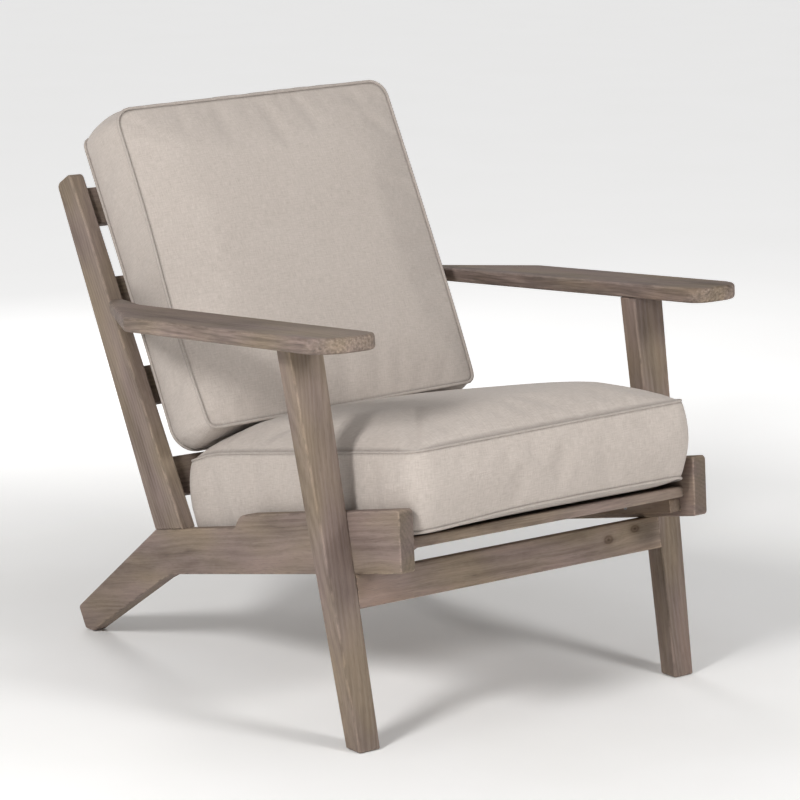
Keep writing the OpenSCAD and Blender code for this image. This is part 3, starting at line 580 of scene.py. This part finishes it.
def box_cushion(grid, half, corner, draws, seams, bulges, rises, powers):
    """grid runs from -1 to 1 on each axis; draws and bulges are the front, right, rear and left sides',
    and the last bulge is the corners'. For the back cushion, front and rear mean its foot and its top.
    rises and powers are how high and how full the lower and the upper crown are. Returns the points,
    how far out each point of the grid lies, and where the band's corners are."""
    (a, b), (low, high) = (half[0] - SMALLER, half[1] - SMALLER), seams
    s, t, w = grid.T
    m = np.maximum(np.abs(s), np.abs(t))
    safe = np.where(m > 0, m, 1)
    x, y = a * s / safe, b * t / safe
    on_band = (m > ON_EDGE) & (np.abs(w) < ON_EDGE)
    straight_x = np.abs(s) >= np.abs(t)

    def by_side(front, right, rear, left):
        return np.where(straight_x, np.where(s > 0, right, left), np.where(t > 0, rear, front))

    def crown(side):
        power_s, power_t, fullness = powers[side]
        share = np.clip((1 - np.abs(s) ** power_s) * (1 - np.abs(t) ** power_t), 0, 1)
        return rises[side] * share ** fullness

    bulge = by_side(*bulges[:4])
    cornered = np.exp(-(np.hypot(a - np.abs(x), b - np.abs(y)) / CORNER_REACH) ** 2)
    bulge = bulge + (bulges[4] - bulge) * cornered
    inward = np.where(on_band, -bulge * (1 - w ** 2) ** BAND_FULLNESS, 0)
    cx, cy = a - corner, b - corner
    dx, dy = np.abs(x) - cx, np.abs(y) - cy
    turned = (dx > 0) & (dy > 0)
    far = np.where(turned, np.hypot(dx, dy), 1)
    radius = corner - inward
    draw = by_side(*draws) * np.cos(np.clip(np.where(straight_x, y / cy, x / cx), -1, 1) * math.pi / 2)
    new_x = np.where(turned, np.sign(x) * (cx + dx / far * radius),
                     x - np.where(straight_x, np.sign(s) * (inward + draw), 0))
    new_y = np.where(turned, np.sign(y) * (cy + dy / far * radius),
                     y - np.where(straight_x, 0, np.sign(t) * (inward + draw)))
    z = np.where(w > ON_EDGE, high + crown(1),
                 np.where(w < -ON_EDGE, low - crown(0), low + (w + 1) / 2 * (high - low)))
    return np.stack([m * new_x, m * new_y, z], axis=1), m, np.where(on_band, cornered, 0)


# %% [markdown]
# ## Cushions: room for a zip
# A zip's tape is stiffer than the linen, so the band lies level beside it. The simulation is kept
# away from these points, as it is from the seams. All shaping is done on whole arrays of points,
# which is much faster than one point at a time, so two functions read and write them.

# %% Level place for a tape, and reading and writing points
ZIP_HALF_LENGTH, ZIP_HALF_WIDTH = 0.19, 0.021  # of the level place round a tape
ZIP_FADE = (0.02, 0.008)  # over how much of these it fades


def beside_zip(points, band, middle):
    """1 where a zip lies in the band, which is kept level there to carry the tape, fading to 0 round it."""
    return np.clip((ZIP_HALF_LENGTH - np.abs(points[:, 0])) / ZIP_FADE[0], 0, 1) * np.clip(
        (ZIP_HALF_WIDTH - np.abs(points[:, 2] - middle)) / ZIP_FADE[1], 0, 1) * band


def read_points(piece):
    flat = np.empty(len(piece.data.vertices) * 3)
    piece.data.vertices.foreach_get("co", flat)
    return flat.reshape(-1, 3)


def write_points(piece, points):
    piece.data.vertices.foreach_set("co", points.ravel())
    piece.data.update()


print("room for a zip, mm:", 2000 * ZIP_HALF_LENGTH, "x", 2000 * ZIP_HALF_WIDTH)


# %% [markdown]
# ## Cushions: blown up as cloth
# Foam presses outward everywhere, so even pressure on a cloth pinned along its seams gives the
# real thing's fullness, with small tucks at the seams because the cloth is cut a little large.
# Gravity is off, since the foam carries the cover. The movement of each point is capped, and the
# result is applied, so no simulation is left on the piece.

# %% Cloth simulation with a capped movement
FRAMES, PRESSURE = 20, 1.5  # how long the cloth is simulated, and how hard the foam presses


def pick(piece):
    """Selects one piece alone, as a click does."""
    bpy.ops.object.select_all(action="DESELECT")
    piece.select_set(True)
    bpy.context.view_layer.objects.active = piece


def blow_up(piece, pinned, cap, fullness):
    """cap is the furthest that each point may move, fullness how much too large the cloth is cut."""
    rest = read_points(piece)
    group = piece.vertex_groups.new(name="sewn")
    group.add([int(i) for i in np.nonzero(pinned)[0]], 1.0, "REPLACE")
    pick(piece)
    cloth = piece.modifiers.new("linen", "CLOTH")
    cloth.settings.quality = 6
    cloth.settings.mass = 0.3
    cloth.settings.tension_stiffness = cloth.settings.compression_stiffness = 60
    cloth.settings.shear_stiffness = 20
    cloth.settings.bending_stiffness = 4
    cloth.settings.air_damping = 3
    cloth.settings.vertex_group_mass = "sewn"
    cloth.settings.shrink_min = -fullness
    cloth.settings.use_pressure = True
    cloth.settings.uniform_pressure_force = PRESSURE
    cloth.settings.effector_weights.gravity = 0
    cloth.point_cache.frame_start, cloth.point_cache.frame_end = 1, FRAMES
    for frame_number in range(1, FRAMES + 1):
        scene.frame_set(frame_number)
    bpy.ops.object.modifier_apply(modifier=cloth.name)
    scene.frame_set(1)
    moved = read_points(piece) - rest
    size = np.linalg.norm(moved, axis=1, keepdims=True)
    moved *= np.minimum(1, cap[:, None] / np.maximum(size, 1e-9))
    print(piece.name, "cloth moved up to, mm:", round(float(size.max()) * 1000, 1),
          "mean", round(float(size.mean()) * 1000, 1))
    write_points(piece, rest + moved)
    return rest + moved


# %% [markdown]
# ## Cushions: piping
# The seams are piped with the same linen, cut on the bias and wrapped round a cord. On the back
# cushion it is about 5 mm thick and stands out, on the seat cushion it is thinner and half sunk.
# The cord follows the loop of points where panel and band meet. It is a tube swept along that
# loop as a curve, turned into a mesh, with a cloth map that runs along and round it.

# %% Piping along a seam
CORD_SIDES = 8
CORD_STEP = 0.008  # from one point of the loop to the next, on average


def piping(name, loop, end, place, radius, proud):
    """proud is how far the cord's middle lies outside the seam."""
    tangent = np.roll(loop, -1, axis=0) - np.roll(loop, 1, axis=0)
    out = np.stack([tangent[:, 1], -tangent[:, 0], 0 * tangent[:, 0]], axis=1)
    out /= np.linalg.norm(out, axis=1, keepdims=True)
    loop = loop + proud * out + 0.6 * proud * end * np.array([0, 0, 1])
    curve = bpy.data.curves.new(name, "CURVE")
    curve.dimensions = "3D"
    curve.bevel_depth = radius
    curve.bevel_resolution = CORD_SIDES // 2 - 1
    line = curve.splines.new("POLY")
    line.points.add(len(loop) - 1)
    for point, at in zip(line.points, place(loop)):
        point.co = (*at, 1)
    line.use_cyclic_u = True
    cord = bpy.data.objects.new(name, curve)
    bpy.context.collection.objects.link(cord)
    pick(cord)
    bpy.ops.object.convert(target="MESH")
    cord = bpy.context.object
    cloth = cord.data.uv_layers.new(name="cloth")
    side_width = 2 * math.pi * radius / CORD_SIDES
    for face in cord.data.polygons:
        ring, side = divmod(face.index, CORD_SIDES)
        for corner, (i, j) in zip(face.loop_indices, ((0, 0), (1, 0), (1, 1), (0, 1))):
            cloth.data[corner].uv = ((ring + i) * CORD_STEP, (side + j) * side_width)
    bpy.ops.object.shade_smooth()
    cord.data.materials.append(piping_linen)
    print(name, "faces:", len(cord.data.polygons))
    return cord


def seam_loop(points, grid, end):
    """The points where the band meets the panel at one end, in order round the cushion."""
    m = np.maximum(np.abs(grid[:, 0]), np.abs(grid[:, 1]))
    on = np.nonzero((m > ON_EDGE) & (np.abs(grid[:, 2] - end) < 1e-4))[0]
    order = np.argsort(np.arctan2(grid[on, 1], grid[on, 0]))
    return points[on[order]]


# %% [markdown]
# ## Cushions: smoothing
# One level of subdivision rounds the panels, and creased edges keep the seams sharp under it. The seams are
# also marked with an attribute, which the linen's finish reads to paint shade into them.

# %% Crease the seams, round the panels and dress them
CREASE, SMOOTH_UNDER = 0.9, math.radians(50)


def finish_cushion(piece, grid, place, material):
    """Carries the cushion into the chair's frame, rounds it and gives it its cloth."""
    write_points(piece, place(read_points(piece)))
    mesh = bmesh.new()
    mesh.from_mesh(piece.data)
    crease = mesh.edges.layers.float.new("crease_edge")
    m = np.maximum(np.abs(grid[:, 0]), np.abs(grid[:, 1]))
    sewn = (m > ON_EDGE) & (np.abs(grid[:, 2]) > ON_EDGE)
    for edge in mesh.edges:
        if sewn[edge.verts[0].index] and sewn[edge.verts[1].index]:
            edge[crease] = CREASE
    bmesh.ops.recalc_face_normals(mesh, faces=mesh.faces)
    mesh.to_mesh(piece.data)
    mesh.free()
    # marks the seams for their painted shade
    painted_seam_shade = piece.data.attributes.new("painted_seam_shade", "FLOAT", "POINT")
    painted_seam_shade.data.foreach_set("value", sewn.astype(float))
    pick(piece)
    rounding = piece.modifiers.new("rounding", "SUBSURF")
    rounding.levels = rounding.render_levels = 1
    bpy.ops.object.modifier_apply(modifier=rounding.name)
    bpy.ops.object.shade_smooth_by_angle(angle=SMOOTH_UNDER)
    piece.data.materials.append(material)
    print(piece.name, "faces:", len(piece.data.polygons))


# %% [markdown]
# ## The seat cushion
# It lies on the slats, so its underside is flat. Its front band leans forward over the rails'
# ends, its top is full, and the back cushion rests on its rear part and presses it to a slope.

# %% Seat cushion: a box with a full top
SEAT_SEAMS = (0.2863, 0.3913)
SEAT_FRONT, SEAT_REAR, SEAT_HALF_W = -0.108, 0.43024, 0.243
SEAT_ZIP = (0.42527, 0.31254)  # the tape's outer face, and the tape's middle between the seams
seat_half = (SEAT_HALF_W, (SEAT_REAR - SEAT_FRONT) / 2)
seat_mid = (SEAT_REAR + SEAT_FRONT) / 2
seat = cut_cube("seat_cushion", (*seat_half, (SEAT_SEAMS[1] - SEAT_SEAMS[0]) / 2), (60, 66, 14))
seat_grid = read_points(seat)
seat_shape, seat_m, seat_corners = box_cushion(
    seat_grid, seat_half, corner=0.028, draws=(0, 0.003, 0.003, 0.003), seams=SEAT_SEAMS,
    bulges=(0.008, 0.001, -0.004, 0.001, 0.009), rises=(0.0055, 0.055), powers=((20, 20, 1), (4, 5, 0.6)))
print("seat cushion with its crown, mm high:", round(1000 * float(np.ptp(seat_shape[:, 2])), 1))

# %% [markdown]
# ## The seat cushion's sewing
# Real cushions aren't boxes. The full top pulls its seam up between the corners, most of all
# towards the rear, where it drops again at the corners. The front of the underside lifts off the
# first slat, except at the left.

# %% Seat cushion: pulled out of square and blown up
FRONT_LEAN = 0.017  # how far ahead of its foot the front band's top stands
FRONT_PULL, FRONT_PULL_RIGHT = 0.006, 0.0047  # rise of the front seam, and how much more at the right
SIDE_PULL, LESS_LEFT, LESS_RIGHT = 0.0155, 0.0142, 0.0048  # of the side seams, and how much less in front
REAR_DROP, REAR_REACH = 0.0095, 0.2  # how far they drop at the rear corners, and over what share
LIFT_OFF, LIFT_REACH = 0.0095, 0.55  # of the underside, and over what share of the width it grows
SLOPE_HEIGHT, SLOPE_FALL, SLOPE_RIGHT = 0.5035, 0.3153, 0.0066  # at mid-depth, to the metre, at the right
TAPE_SET = 0.0005  # the cloth lies this far inside the tape's outer face


def seat_slope(x, y):
    """Height of the slope under the back cushion, which stands higher on the right."""
    return SLOPE_HEIGHT - SLOPE_FALL * y + SLOPE_RIGHT * np.clip(x / SEAT_HALF_W, 0, 1)


across, back_to = seat_shape[:, 0] / seat_half[0], seat_shape[:, 1] / seat_half[1]
up = np.clip((seat_shape[:, 2] - SEAT_SEAMS[0]) / (SEAT_SEAMS[1] - SEAT_SEAMS[0]), 0, 1)
seat_shape[:, 1] -= FRONT_LEAN * np.clip(-back_to, 0, 1) * up
front_pull = FRONT_PULL + FRONT_PULL_RIGHT * across
side_pull = SIDE_PULL - np.where(across < 0, LESS_LEFT, LESS_RIGHT) * np.clip((0.7 - back_to) / 1.7, 0, 1)
side_pull = side_pull - REAR_DROP * np.exp(-((1 - np.clip(back_to, -1, 1)) / REAR_REACH) ** 2)
on_front = (np.abs(seat_grid[:, 1]) >= np.abs(seat_grid[:, 0])) & (seat_grid[:, 1] < 0)
seat_shape[:, 2] += np.where(on_front, front_pull, side_pull) * up * seat_m ** 6
lift = LIFT_OFF * (1 - np.exp(-((across + 1) / LIFT_REACH) ** 2))
seat_shape[:, 2] += lift * np.clip(-back_to, 0, 1) ** 8 * (1 - up)
seat_shape[:, 2] = np.minimum(seat_shape[:, 2], seat_slope(seat_shape[:, 0], seat_shape[:, 1]) - 0.001)
on_edge = seat_m > ON_EDGE
zip_row = beside_zip(seat_shape, on_edge & (seat_grid[:, 1] > ON_EDGE), SEAT_ZIP[1])
seat_shape[:, 1] += zip_row * (SEAT_ZIP[0] - TAPE_SET - seat_mid - seat_shape[:, 1])
write_points(seat, seat_shape)
sewn = (on_edge & (np.abs(seat_grid[:, 2]) > ON_EDGE)) | (seat_grid[:, 2] < -ON_EDGE) | (zip_row > 0.99)
seat_points = blow_up(seat, sewn, cap=0.005 - 0.004 * seat_corners, fullness=0.007)

# %% [markdown]
# ## The seat cushion in its place
# The blown-up cushion is pressed by what is round it: the back cushion above its rear part, and
# the side rails on both sides. In front of the rails' ends and above them it is a little wider.
# Its front right corner swells most, and leans over the rail.

# %% Seat cushion: pressed, piped and finished
SWELL, SWELL_FOOT, SWELL_REAR = 0.0055, 0.29, 0.08  # how far, from what height up, from where forward
RAIL_FRONT, RAIL_TOP = -0.114, 0.345
ROOM_BETWEEN, ROOM_ABOVE = 0.2468, 0.254  # half the width there
seat_points[:, 2] = np.minimum(seat_points[:, 2], np.maximum(
    seat_slope(seat_points[:, 0], seat_points[:, 1]) - 0.0012, SEAT_SEAMS[0]))
seat_points[:, 1] += seat_mid
swell = (np.clip((seat_points[:, 2] - SWELL_FOOT) / 0.05, 0, 1)
         * np.clip((SWELL_REAR - seat_points[:, 1]) / 0.12, 0, 1))
seat_points[:, 0] += SWELL * swell * np.clip(seat_points[:, 0] / SEAT_HALF_W, 0, 1) ** 4
between_rails = (seat_points[:, 1] > RAIL_FRONT) & (seat_points[:, 2] < RAIL_TOP)
room = np.where(between_rails, ROOM_BETWEEN, ROOM_ABOVE)
seat_points[:, 0] = np.clip(seat_points[:, 0], -room, room)
write_points(seat, seat_points)
seat_cords = [piping("seat_piping_" + name, seam_loop(seat_points, seat_grid, end), end, seat_place,
                     radius, proud)
              for name, end, radius, proud in (("lower", -1, 0.0022, 0.0008), ("upper", 1, 0.0016, 0.0))]
finish_cushion(seat, seat_grid, seat_place, panel_linen)
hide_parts("seat_cushion_cover", "seat_cushion_core")

# %% [markdown]
# ## The back cushion
# It leans on the four slats and stands on the seat cushion. It is a little wider at its top than
# at its bottom, both panels are crowned, and the slats flatten the rear one where they touch it.
# Its upper corners are rounder than the lower ones of the front panel, the rear panel's lower ones
# are the roundest, and the band stands up above its top seam.

# %% Back cushion: a box with two crowns
BACK_SEAMS = (0.0403, 0.1483)
BACK_LOW, BACK_HEIGHT, SLAT_FACE = 0.10483, 0.496, 0.0126  # its foot, its height, the slats' front
BACK_ZIP = (0.10982, 0.06731)  # the tape's outer face, and the tape's middle between the seams
back_half = (SEAT_HALF_W, BACK_HEIGHT / 2)
back = cut_cube("back_cushion", (*back_half, (BACK_SEAMS[1] - BACK_SEAMS[0]) / 2), (60, 62, 14))
back_grid = read_points(back)
back_corner = np.where(back_grid[:, 1] > 0, 0.019 + 0.007 * back_grid[:, 2], 0.024 - 0.011 * back_grid[:, 2])
back_shape, back_m, back_corners = box_cushion(
    back_grid, back_half, corner=back_corner, draws=(0, 0.001, 0, 0.001), seams=BACK_SEAMS,
    bulges=(-0.002, 0.004, 0.018, 0.003, 0.008), rises=(0.022, 0.023), powers=((4, 4, 0.8), (4, 4, 0.8)))
print("back cushion with its crowns, mm thick:", round(1000 * float(np.ptp(back_shape[:, 2])), 1))

# %% [markdown]
# ## The back cushion's sewing
# In the photograph it hangs slightly askew, its right side higher. Its own weight spreads it low
# down on the left. Then it is blown up like the other one.

# %% Back cushion: hung askew and blown up
LEFT_SPREAD, LEFT_LOW = 0.006, 0.008  # how far the left side stands out, and how much more low down
LOW_AT, LOW_REACH = -0.4, 0.55  # where up the side, as shares of half its height
RIGHT_SPREAD, RIGHT_LOW = 0.0045, 0.0115  # the right side stands out at the top and in at the foot
RAISED, RAISED_RIGHT, RAISED_TOP, RAISED_TWIST = 0.0034, 0.0069, 0.0028, 0.0016
TOP_DROP = 0.002  # of the front panel's upper edge
across, up_back = back_shape[:, 0] / back_half[0], back_shape[:, 1] / back_half[1]
ahead = np.clip((back_shape[:, 2] - BACK_SEAMS[0]) / (BACK_SEAMS[1] - BACK_SEAMS[0]), 0, 1)
left = LEFT_SPREAD + LEFT_LOW * np.exp(-((up_back - LOW_AT) / LOW_REACH) ** 2)
right = RIGHT_SPREAD - RIGHT_LOW * ((1 - up_back) / 2) ** 3
back_shape[:, 0] += np.where(across < 0, -left, right) * np.abs(across) * ahead
back_shape[:, 1] += RAISED + RAISED_RIGHT * across + RAISED_TOP * up_back + RAISED_TWIST * across * up_back
back_shape[:, 1] -= TOP_DROP * np.clip(up_back, 0, 1) ** 6 * ahead
on_edge = back_m > ON_EDGE
zip_row = beside_zip(back_shape, on_edge & (back_grid[:, 1] < -ON_EDGE), BACK_ZIP[1])
back_shape[:, 1] += zip_row * (BACK_ZIP[0] + TAPE_SET - BACK_LOW - back_half[1] - back_shape[:, 1])
write_points(back, back_shape)
sewn = (on_edge & (np.abs(back_grid[:, 2]) > ON_EDGE)) | (zip_row > 0.99)
back_points = blow_up(back, sewn, cap=0.006 - 0.004 * back_corners, fullness=0.006)

# %% [markdown]
# ## The back cushion in its place
# The slats stop its rear panel, and its foot rests on the seat cushion. Its piping stands out from
# both seams.

# %% Back cushion: laid against the slats, piped and finished
back_points[:, 1] += BACK_LOW + BACK_HEIGHT / 2
back_points[:, 2] = np.maximum(back_points[:, 2], SLAT_FACE)
write_points(back, back_points)
back_cords = [piping("back_piping_" + name, seam_loop(back_points, back_grid, end), end, back_place,
                     radius=0.0024, proud=0.0012)
              for name, end in (("rear", -1), ("front", 1))]
finish_cushion(back, back_grid, back_place, panel_linen)
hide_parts("back_cushion_cover", "back_cushion_core")

# %% [markdown]
# ## The zips' coils
# Each cover closes with a zip in a band that doesn't show from the front. Its tape and its slider
# are CAD parts. The coil that the slider runs on is a row of fine nylon ridges: one is modelled,
# and an array repeats it along the tape. Real ones stand 1 mm apart, here 2 mm, so that they show.

# %% Nylon coils on the tapes
RIDGE, RIDGE_BEVEL = (0.0013, 0.0036, 0.0008), 0.0002  # along the tape, across it and out of it
RIDGE_PITCH, RIDGES = 0.002, 155
coil_nylon = grained("drawn_nylon_coil", ("#6f665b", "#857b6f"), 0.0, (0.35, 0.5), 0.001)


def zip_coil(name, place):
    """A row of ridges, modelled at the origin along X and carried to the tape by place."""
    bpy.ops.object.select_all(action="DESELECT")
    bpy.ops.mesh.primitive_cube_add(size=1)
    coil = bpy.context.object
    coil.name = name
    bpy.ops.object.mode_set(mode="EDIT")
    bpy.ops.transform.resize(value=RIDGE)
    bpy.ops.mesh.bevel(offset=RIDGE_BEVEL, segments=1, affect="EDGES")
    bpy.ops.object.mode_set(mode="OBJECT")
    row = coil.modifiers.new("row", "ARRAY")
    row.use_relative_offset, row.use_constant_offset = False, True
    row.constant_offset_displace, row.count = (RIDGE_PITCH, 0, 0), RIDGES
    bpy.ops.object.modifier_apply(modifier=row.name)
    write_points(coil, place(read_points(coil) - ((RIDGES - 1) * RIDGE_PITCH / 2, 0, 0)))
    coil.data.materials.append(coil_nylon)
    print(name, "faces:", len(coil.data.polygons))
    return coil


seat_coil = zip_coil("seat_zip_coil", lambda at: seat_place(np.stack(
    [at[:, 0], SEAT_ZIP[0] + at[:, 2], SEAT_ZIP[1] - at[:, 1]], axis=1)))
back_coil = zip_coil("back_zip_coil", lambda at: back_place(np.stack(
    [at[:, 0], BACK_ZIP[0] - at[:, 2], BACK_ZIP[1] + at[:, 1]], axis=1)))

# %% [markdown]
# ## What moves with what
# Each cushion is a body of its own, so its cover, its piping and its zip's coil ride on that body.
# The zips' tapes and sliders are CAD nodes, which already do.

# %% Ride on the bodies
for piece, cords, body in ((seat, seat_cords, "seat_cushion"), (back, back_cords, "back_cushion")):
    for part in (piece, *cords):
        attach(part, body)
for coil, body in ((seat_coil, "seat_cushion"), (back_coil, "back_cushion")):
    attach(coil, body)
print("pieces on the seat cushion:", 2 + len(seat_cords), "on the back cushion:", 2 + len(back_cords))

# %% [markdown]
# ## Floor
# A plain pale studio floor, a touch warmer than white, with the faint cloudiness of painted board.
# Half a metre and more from the chair it glows a little, a painted light: emission that stands in for the
# lamps a white studio's floor has of its own, so the background stays pale. The white all round is brightest
# where it meets the floor, which hides the floor's edge in a low view and adds hardly any light.

# %% Studio floor and horizon
GLOW_FROM, GLOW_FULL, GLOW = 0.5, 2.3, 0.52  # where the floor starts to glow, where fully, and how much
HORIZON, ABOVE = (0.02, 0.86), (0.14, 0.29)  # rise and brightness of the white all round
paint = grained("matt_white_paint_with_painted_glow", ("#f4f3f1", "#f8f7f6"), 0.0, (0.8, 0.9), 0.4)
tree = paint.node_tree
far = vector(tree, "LENGTH", add(tree, "ShaderNodeTexCoord", {}).outputs["Object"])
# the painted glow: emission that rises with the distance from the chair
connect(tree, tree.nodes["Principled BSDF"], {
    "Emission Color": WHITE, "Emission Strength": map_range(
        tree, far, (GLOW_FROM, GLOW_FULL), (0.0, GLOW), interpolation_type="SMOOTHSTEP")})
floor.data.materials.append(paint)
sky = world.node_tree
view = add(sky, "ShaderNodeTexCoord", {}).outputs["Generated"]
height = add(sky, "ShaderNodeSeparateXYZ", {"Vector": view}).outputs["Z"]
connect(sky, sky.nodes["Background"], {"Strength": map_range(
    sky, height, (HORIZON[0], ABOVE[0]), (HORIZON[1], ABOVE[1]), interpolation_type="SMOOTHSTEP")})
print("floor, m:", [round(side, 1) for side in floor.dimensions[:2]])
